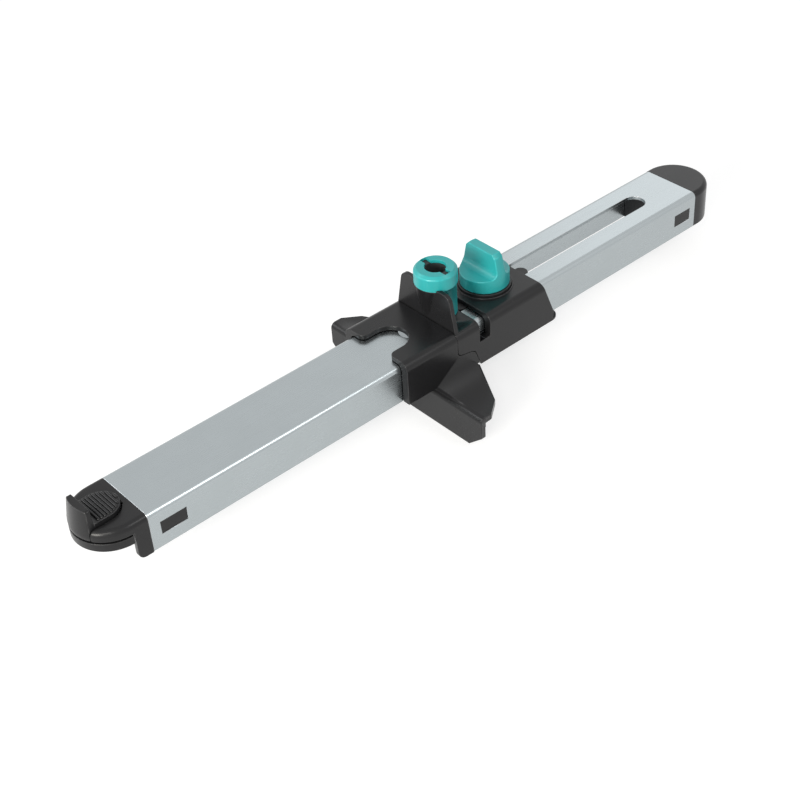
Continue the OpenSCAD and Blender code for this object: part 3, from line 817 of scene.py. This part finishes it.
class ScriberFinish(PropertyGroup):
    """Colours and grain of the finishes"""

    zinc: colour_of("Zinc", (0.405, 0.442, 0.455), "Colour of the plated rail")
    black: colour_of("Black plastic", (0.0125, 0.0125, 0.0135), "Colour of the black mouldings")
    teal: colour_of("Teal plastic", (0.025, 0.425, 0.43), "Colour of the knob and the holder")
    slip: colour_of("Slip plastic", (0.008, 0.008, 0.009), "Colour of the slide key and washer")
    rubber: colour_of("Rubber", (0.016, 0.02, 0.02), "Colour of the soft sleeve and the pads")
    screw: colour_of("Screw steel", (0.55, 0.56, 0.57), "Colour of the screws and the bolt")
    spring: colour_of("Spring steel", (0.34, 0.37, 0.42), "Colour of the leaf spring")
    brass: colour_of("Brass", (0.74, 0.52, 0.2), "Colour of the threaded insert")
    paper: colour_of("Paper", (0.5, 0.5, 0.5), "Colour of the ground")
    grain: number_of("Grain", 3800.0, "Pits of the moulded grain in each metre", least=500.0)


class ScriberEdges(PropertyGroup):
    """How far the edges are rounded"""

    sheet: length_of("Sheet", 0.12, "Rounding of the rail's cut edges", 1.0)
    moulding: length_of("Mouldings", 0.22, "Rounding of the black mouldings' edges", 1.0)
    handle: length_of("Handles", 0.36, "Rounding of the teal pieces' edges", 1.0)
    hardware: length_of("Hardware", 0.12, "Rounding of the small hardware's edges", 1.0)


class ScriberChannel(PropertyGroup):
    """Sizes of the folded rail"""

    sheet: length_of("Sheet", 1.5, "Thickness of the rail's sheet", 5.0)
    bend: length_of("Bend", 2.4, "Outer radius of the rail's bends", 10.0)
    slot_width: length_of("Slot width", 9.5, "Width of the slot in the rail's top", 20.0)
    slot_start: length_of("Slot start", 127.0, "From the rail's front end to the slot", 300.0)
    slot_margin: length_of("Slot margin", 19.0, "From the slot to the rail's rear end")
    front_window: length_of("Front windows", 10.8, "Length of the front snap windows")
    rear_window: length_of("Rear windows", 9.8, "Length of the rear snap windows")
    window_height: length_of("Window height", 5.5, "Height of the snap windows")
    window_low: length_of("Window foot", 5.2, "From the rail's foot up to the snap windows")
    front_inset: length_of("Front inset", 4.3, "From the rail's front end to its windows")
    rear_inset: length_of("Rear inset", 3.4, "From the rear windows to the rail's rear end")


class ScriberHardware(PropertyGroup):
    """Sizes of the ribs, the screws and the bolt"""

    rib_count: IntProperty(
        name="Ribs", description="Ribs on the thumb pad", default=9, min=1, max=20
    )
    rib_radius: length_of("Rib radius", 0.62, "Radius of each rib", 2.0)
    rib_rise: length_of("Rib rise", 0.5, "Height of the ribs over the thumb pad", 2.0)
    foot: length_of("Hook foot", 1.8, "Smooth strip between the hook and the first rib", 10.0)
    screw_head: length_of("Screw head", 1.3, "Height of the small screws' heads", 5.0)
    screw_rim: length_of("Screw rim", 1.9, "Radius of the housing screws' heads", 5.0)
    screw_shank: length_of("Screw shank", 1.05, "Radius of the small screws' thread", 5.0)
    screw_pitch: length_of("Screw pitch", 0.55, "Rise of the small screws' thread a turn", 2.0)
    recess_length: length_of("Recess length", 2.28, "Length of each slot of the recess", 5.0)
    recess_width: length_of("Recess width", 0.52, "Width of each slot of the recess", 2.0)
    bolt_head: length_of("Bolt head", 4.0, "Height of the clamp bolt's head", 10.0)
    bolt_shank: length_of("Bolt shank", 2.95, "Radius of the clamp bolt's thread", 10.0)
    bolt_pitch: length_of("Bolt pitch", 1.0, "Rise of the clamp bolt's thread a turn", 2.0)


class ScriberStage(PropertyGroup):
    """Where the camera stands and looks, and the strength of each light"""

    eye: FloatVectorProperty(
        name="Eye",
        description="Where the camera stands",
        default=(-0.3128, -0.3629, 0.3783),
        size=3,
        subtype="TRANSLATION",
        unit="LENGTH",
    )
    heading: number_of("Heading", 48.999, "Angle of the view from +X towards +Y, in degrees")
    tilt: number_of("Tilt", 37.849, "Angle of the view downwards, in degrees")
    roll: number_of("Roll", 2.883, "Turn of the frame about the view, in degrees")
    lens: number_of("Lens", 68.47, "Focal length in millimetres", least=20.0)
    shift: FloatVectorProperty(
        name="Shift",
        description="Shift of the frame, in frame widths",
        default=(-0.0441, -0.0339),
        size=2,
    )
    sky: number_of("Sky", 0.4, "Strength of the light all round", least=0.0)
    glow: number_of("Glow", 0.7, "How white the ground is to the camera", least=0.0)
    key: number_of("Key", 1.7, "Power of the lamp at the left, behind the nose", least=0.0)
    front: number_of("Front", 11.0, "Power of the lamp ahead of the nose", least=0.0)
    side: number_of("Side", 2.0, "Power of the lamp at the right of the rail", least=0.0)
    fill: number_of("Fill", 1.1, "Power of the small lamp beside the camera", least=0.0)
    rear: number_of("Rear", 0.6, "Power of the cool lamp behind the rear cap", least=0.0)


# ---------------------------------------------------------------- operators


class ScriberRail(Operator):
    """Folds and finishes the steel rail"""

    bl_idname = "scriber.rail"
    bl_label = "Rail"

    def execute(self, context):
        channel = context.scene.scriber_channel
        low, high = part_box("rail")
        sizes = {
            "Length": high.x - low.x,
            "Width": high.y - low.y,
            "Height": high.z - low.z,
            "Front X": low.x,
            "Foot Z": low.z,
            "Sheet": channel.sheet,
            "Bend": channel.bend,
            "Slot Width": channel.slot_width,
            "Slot Start": channel.slot_start,
            "Slot End": high.x - low.x - channel.slot_margin,
            "Front Window": channel.front_window,
            "Rear Window": channel.rear_window,
            "Window Height": channel.window_height,
            "Window Low": channel.window_low,
            "Front Inset": channel.front_inset,
            "Rear Inset": channel.rear_inset,
        }
        blank = points("rail_blank", (0.0, 0.0, 0.0))
        folded_rail(sizes).grown(blank, "zinc_steel")
        mesh = merged(blank.data)
        bpy.data.objects.remove(blank)
        weigh_edges(mesh)
        piece = as_object(mesh, "rail_folded")
        bevelled(piece, context.scene.scriber_edges.sheet, 2)
        fitted(piece, "zinc_steel", "frame", "rail")
        return {"FINISHED"}


class ScriberCaps(Operator):
    """Finishes the two end caps and the spring inside the nose"""

    bl_idname = "scriber.caps"
    bl_label = "End caps"

    def execute(self, context):
        edges = context.scene.scriber_edges
        dressed("front_cap", "black_plastic", edges.moulding)
        dressed("rear_cap", "black_plastic", edges.moulding * 0.8)
        dressed("stop_spring", "spring_steel", edges.hardware / 3)
        return {"FINISHED"}


def screw_sizes(hardware, length, head):
    """The sizes of a pan screw of this length with this radius of head."""
    return {
        "Head Radius": head,
        "Head Height": hardware.screw_head,
        "Shank Radius": hardware.screw_shank,
        "Length": length,
        "Pitch": hardware.screw_pitch,
        "Recess Length": hardware.recess_length,
        "Recess Width": hardware.recess_width,
    }


class ScriberStop(Operator):
    """Finishes the wall stop and lays the ribs on its thumb pad"""

    bl_idname = "scriber.wall_stop"
    bl_label = "Wall stop"

    def execute(self, context):
        edges = context.scene.scriber_edges
        hardware = context.scene.scriber_hardware
        dressed("stop_disc", "black_plastic", edges.moulding)
        self.slider(edges, hardware)
        low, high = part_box("stop_screw")
        middle = centre("stop_screw")
        seat = low.z + hardware.screw_head
        screw = points("stop_screw_threaded", (middle.x, middle.y, seat))
        sizes = screw_sizes(hardware, high.z - seat, (high.x - low.x) / 2)
        pan_screws(sizes).grown(screw, "screw_steel")
        fitted(screw, "screw_steel", "wall_stop", "stop_screw")
        return {"FINISHED"}

    def slider(self, edges, hardware):
        """The hook slider without its CAD ridges, and the ribs that take their place."""
        pad_length = 9 * MM
        stem_weld = 0.12 * MM
        hair = 0.01 * MM
        mesh = merged_copy("hook_slider")
        pad_end = max(v.co.x for v in mesh.verts)
        hook_top = max(v.co.z for v in mesh.verts)
        ridge_top = max(v.co.z for v in mesh.verts if v.co.x > pad_end - pad_length)
        pad_top = ridge_top - hardware.rib_rise
        hook_middle = (pad_top + hook_top) / 2
        hook_face = max(v.co.x for v in mesh.verts if v.co.z > hook_middle)
        ridges = [
            face
            for face in mesh.faces
            if face.calc_center_median().x > hook_face + hair
            and min(v.co.z for v in face.verts) > pad_top - 2 * hair
        ]
        bmesh.ops.delete(mesh, geom=ridges, context="FACES")
        rim = [edge for edge in mesh.edges if edge.is_boundary]
        bmesh.ops.contextual_create(mesh, geom=rim)
        bmesh.ops.remove_doubles(mesh, verts=mesh.verts, dist=stem_weld)
        bmesh.ops.dissolve_degenerate(mesh, edges=mesh.edges, dist=SCRAP)
        bmesh.ops.recalc_face_normals(mesh, faces=mesh.faces)
        weigh_edges(mesh)
        piece = as_object(mesh, "hook_slider_dressed")
        bevelled(piece, edges.moulding, 2)
        fitted(piece, "black_plastic", "wall_stop", "hook_slider")

        half = max(v.co.y for v in frame["nodes"]["hook_slider"].data.vertices)
        start = hook_face + hardware.foot
        pitch = (pad_end - start) / hardware.rib_count
        sizes = {
            "Count": hardware.rib_count,
            "Steps": 44,
            "First X": start + pitch / 2,
            "Pitch": pitch,
            "Centre Z": ridge_top - hardware.rib_radius,
            "Round X": pad_end - half,
            "Half Width": half - hardware.rib_rise,
            "Radius": hardware.rib_radius,
        }
        ribs = points("thumb_ribs", (0.0, 0.0, 0.0))
        thumb_ribs(sizes).grown(ribs, "black_plastic")
        fitted(ribs, "black_plastic", "wall_stop")


class ScriberCarriage(Operator):
    """Finishes the fence body, the housing, the slide key and the screws that join them"""

    bl_idname = "scriber.carriage"
    bl_label = "Carriage"

    def execute(self, context):
        edges = context.scene.scriber_edges
        hardware = context.scene.scriber_hardware
        dressed("fence_body", "black_plastic", edges.moulding, 3, self.wing_share())
        dressed("slide_housing", "black_plastic", edges.moulding, 3)
        dressed("slot_key", "slip_plastic", edges.hardware)
        low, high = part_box("housing_screws")
        seat = low.z + hardware.screw_head
        side = high.y - hardware.screw_rim
        middle = centre("housing_screws").x
        screws = points("housing_screws_threaded", (middle, -side, seat), (middle, side, seat))
        sizes = screw_sizes(hardware, high.z - seat, hardware.screw_rim)
        pan_screws(sizes).grown(screws, "screw_steel")
        fitted(screws, "screw_steel", "carriage", "housing_screws")
        return {"FINISHED"}

    @staticmethod
    def wing_share():
        """None of the width on the wings' ends behind the flange, where a small step lies."""
        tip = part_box("fence_body")[1].y - 0.1 * MM
        mounts = frame["record"]["mounts"]
        face = next(m["pos_m"][0] for m in mounts if m["name"] == "fence_face")
        step_front, step_rear = face + 2.1 * MM, face + 3.5 * MM
        step_top = 13.2 * MM

        def share(place):
            in_step = step_front < place.x < step_rear and place.z < step_top
            return 0.0 if abs(place.y) > tip and in_step else 1.0

        return share


class ScriberHolder(Operator):
    """Finishes the pencil holder and its sleeve"""

    bl_idname = "scriber.holder"
    bl_label = "Pencil holder"

    def execute(self, context):
        edges = context.scene.scriber_edges
        dressed("pencil_holder", "teal_plastic", edges.handle, 3, self.lid_share())
        dressed("pencil_sleeve", "soft_rubber", edges.hardware)
        return {"FINISHED"}

    @staticmethod
    def lid_share():
        """Little of the width on the lid, where its notches end close to its outer edge."""
        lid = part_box("pencil_holder")[1].z - 0.05 * MM
        low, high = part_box("pencil_sleeve")
        axis = centre("pencil_sleeve")
        notch_end = (high.y - low.y) / 2
        near = 0.15 * MM
        outer_rim, mouth = 0.1, 0.25

        def share(place):
            if place.z < lid:
                return 1.0
            away = math.hypot(place.x - axis.x, place.y - axis.y)
            if abs(away - notch_end) < near:
                return 0.0
            return outer_rim if away > notch_end else mouth

        return share


class ScriberClamp(Operator):
    """Finishes the knob, the washer and the clamp under the rail"""

    bl_idname = "scriber.clamp"
    bl_label = "Clamp"

    def execute(self, context):
        edges = context.scene.scriber_edges
        hardware = context.scene.scriber_hardware
        dressed("clamp_knob", "teal_plastic", edges.handle, 3, tuck=True)
        dressed("knob_washer", "slip_plastic", edges.hardware * 2)
        dressed("knob_insert", "brass", edges.hardware)
        dressed("clamp_plate", "zinc_steel", edges.hardware)
        dressed("plate_carrier", "black_plastic", edges.hardware * 2)
        dressed("friction_pads", "soft_rubber", edges.hardware)
        low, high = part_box("clamp_bolt")
        middle = centre("clamp_bolt")
        bolt = points("clamp_bolt_threaded", (middle.x, middle.y, low.z))
        sizes = {
            "Head Radius": (high.x - low.x) / 2,
            "Head Height": hardware.bolt_head,
            "Shank Radius": hardware.bolt_shank,
            "Length": high.z - low.z - hardware.bolt_head,
            "Pitch": hardware.bolt_pitch,
        }
        hex_bolt(sizes).grown(bolt, "screw_steel")
        fitted(bolt, "screw_steel", "clamp", "clamp_bolt")
        return {"FINISHED"}


class ScriberStageSet(Operator):
    """Lays the white ground and sets the lamps and the camera"""

    bl_idname = "scriber.stage"
    bl_label = "Stage"

    def execute(self, context):
        stage = context.scene.scriber_stage
        self.ground(context.scene.scriber_finish.paper, stage.glow)
        self.sky(context, stage.sky)
        middle = Vector((0.0, 0.0, 0.02))
        nose = Vector((-0.12, 0.0, 0.02))
        cool, warm = (0.96, 0.98, 1.0), (1.0, 0.97, 0.9)
        pale, cream = (0.97, 0.99, 1.0), (1.0, 0.98, 0.93)
        white = (1.0, 1.0, 1.0)
        self.lamp("left behind", (-0.62, 0.62, 0.55), nose, 0.45, stage.key, cool)
        self.lamp("ahead", (-1.15, -0.35, 0.42), middle, 0.5, stage.front, warm)
        self.lamp("behind", (1.15, 0.75, 0.85), middle, 0.6, stage.rear, pale)
        self.lamp("beside", (-0.62, -0.5, 0.62), nose, 0.2, stage.fill, cream)
        self.lamp("right", (0.34, -0.8, 0.86), nose, 0.42, stage.side, white)
        self.camera(context, stage)
        context.scene.view_settings.view_transform = "Standard"
        return {"FINISHED"}

    def ground(self, colour, glow):
        """A wide round floor."""
        mesh = bmesh.new()
        bmesh.ops.create_circle(mesh, cap_ends=True, segments=96, radius=4.0)
        floor = as_object(mesh, "ground")
        floor.data.materials.append(ground_paper(colour, glow))

    def sky(self, context, strength):
        """Even light from all sides, which the camera sees as white."""
        world = bpy.data.worlds.new("white sky")
        world.use_nodes = True
        tree = Tree(world.node_tree)
        tree.nodes.clear()
        seen = strength + (1.0 - strength) * white_rays(tree)
        light = tree.node(
            "ShaderNodeBackground", None, {"Color": (1.0, 1.0, 1.0, 1.0), "Strength": seen}
        )
        tree.node("ShaderNodeOutputWorld", None, {"Surface": light})
        context.scene.world = world

    def lamp(self, name, place, target, size, power, colour):
        """A round lamp that faces its target."""
        light = bpy.data.lights.new(name, "AREA")
        light.shape = "DISK"
        light.size = size
        light.energy = power
        light.color = colour
        lamp = linked(name, light)
        lamp.location = place
        lamp.rotation_euler = (target - Vector(place)).to_track_quat("-Z", "Y").to_euler()

    def camera(self, context, stage):
        """A camera at the eye, turned by its heading, tilt and roll."""
        heading, tilt, roll = (math.radians(a) for a in (stage.heading, stage.tilt, stage.roll))
        level = Vector((math.cos(heading), math.sin(heading), 0.0))
        ahead = level * math.cos(tilt) - Vector((0.0, 0.0, math.sin(tilt)))
        right = Vector((math.sin(heading), -math.cos(heading), 0.0))
        down = ahead.cross(right)
        across = math.cos(roll) * right + math.sin(roll) * down
        up = math.sin(roll) * right - math.cos(roll) * down
        turn = Matrix((across, up, -ahead)).transposed().to_4x4()
        data = bpy.data.cameras.new("camera")
        data.lens = stage.lens
        data.sensor_width = 36.0
        data.shift_x, data.shift_y = stage.shift
        data.clip_start = 0.01
        camera = linked("camera", data)
        camera.matrix_world = Matrix.Translation(stage.eye) @ turn
        context.scene.camera = camera


STEPS = (
    ScriberStageSet,
    ScriberRail,
    ScriberCaps,
    ScriberStop,
    ScriberCarriage,
    ScriberHolder,
    ScriberClamp,
)

SETTINGS = {
    "scriber_finish": ScriberFinish,
    "scriber_edges": ScriberEdges,
    "scriber_channel": ScriberChannel,
    "scriber_hardware": ScriberHardware,
    "scriber_stage": ScriberStage,
}


class ScriberPanel(Panel):
    """Lists the pieces of the scriber and their settings"""

    bl_idname = "VIEW3D_PT_scriber"
    bl_label = "Laminate scriber"
    bl_space_type = "VIEW_3D"
    bl_region_type = "UI"
    bl_category = "Scriber"

    def draw(self, context):
        layout = self.layout
        for step in STEPS:
            layout.operator(step.bl_idname)
        for name, kind in SETTINGS.items():
            box = layout.box()
            for label in kind.__annotations__:
                box.prop(getattr(context.scene, name), label)


CLASSES = (*SETTINGS.values(), *STEPS, ScriberPanel)


def register():
    for kind in CLASSES:
        bpy.utils.register_class(kind)
    for name, kind in SETTINGS.items():
        setattr(bpy.types.Scene, name, PointerProperty(type=kind))


def unregister():
    for name in SETTINGS:
        delattr(bpy.types.Scene, name)
    for kind in reversed(CLASSES):
        bpy.utils.unregister_class(kind)


def main():
    """Registers the add-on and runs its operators."""
    register()
    for step in STEPS:
        getattr(bpy.ops.scriber, step.bl_idname.removeprefix("scriber."))()


if __name__ == "__main__":
    main()
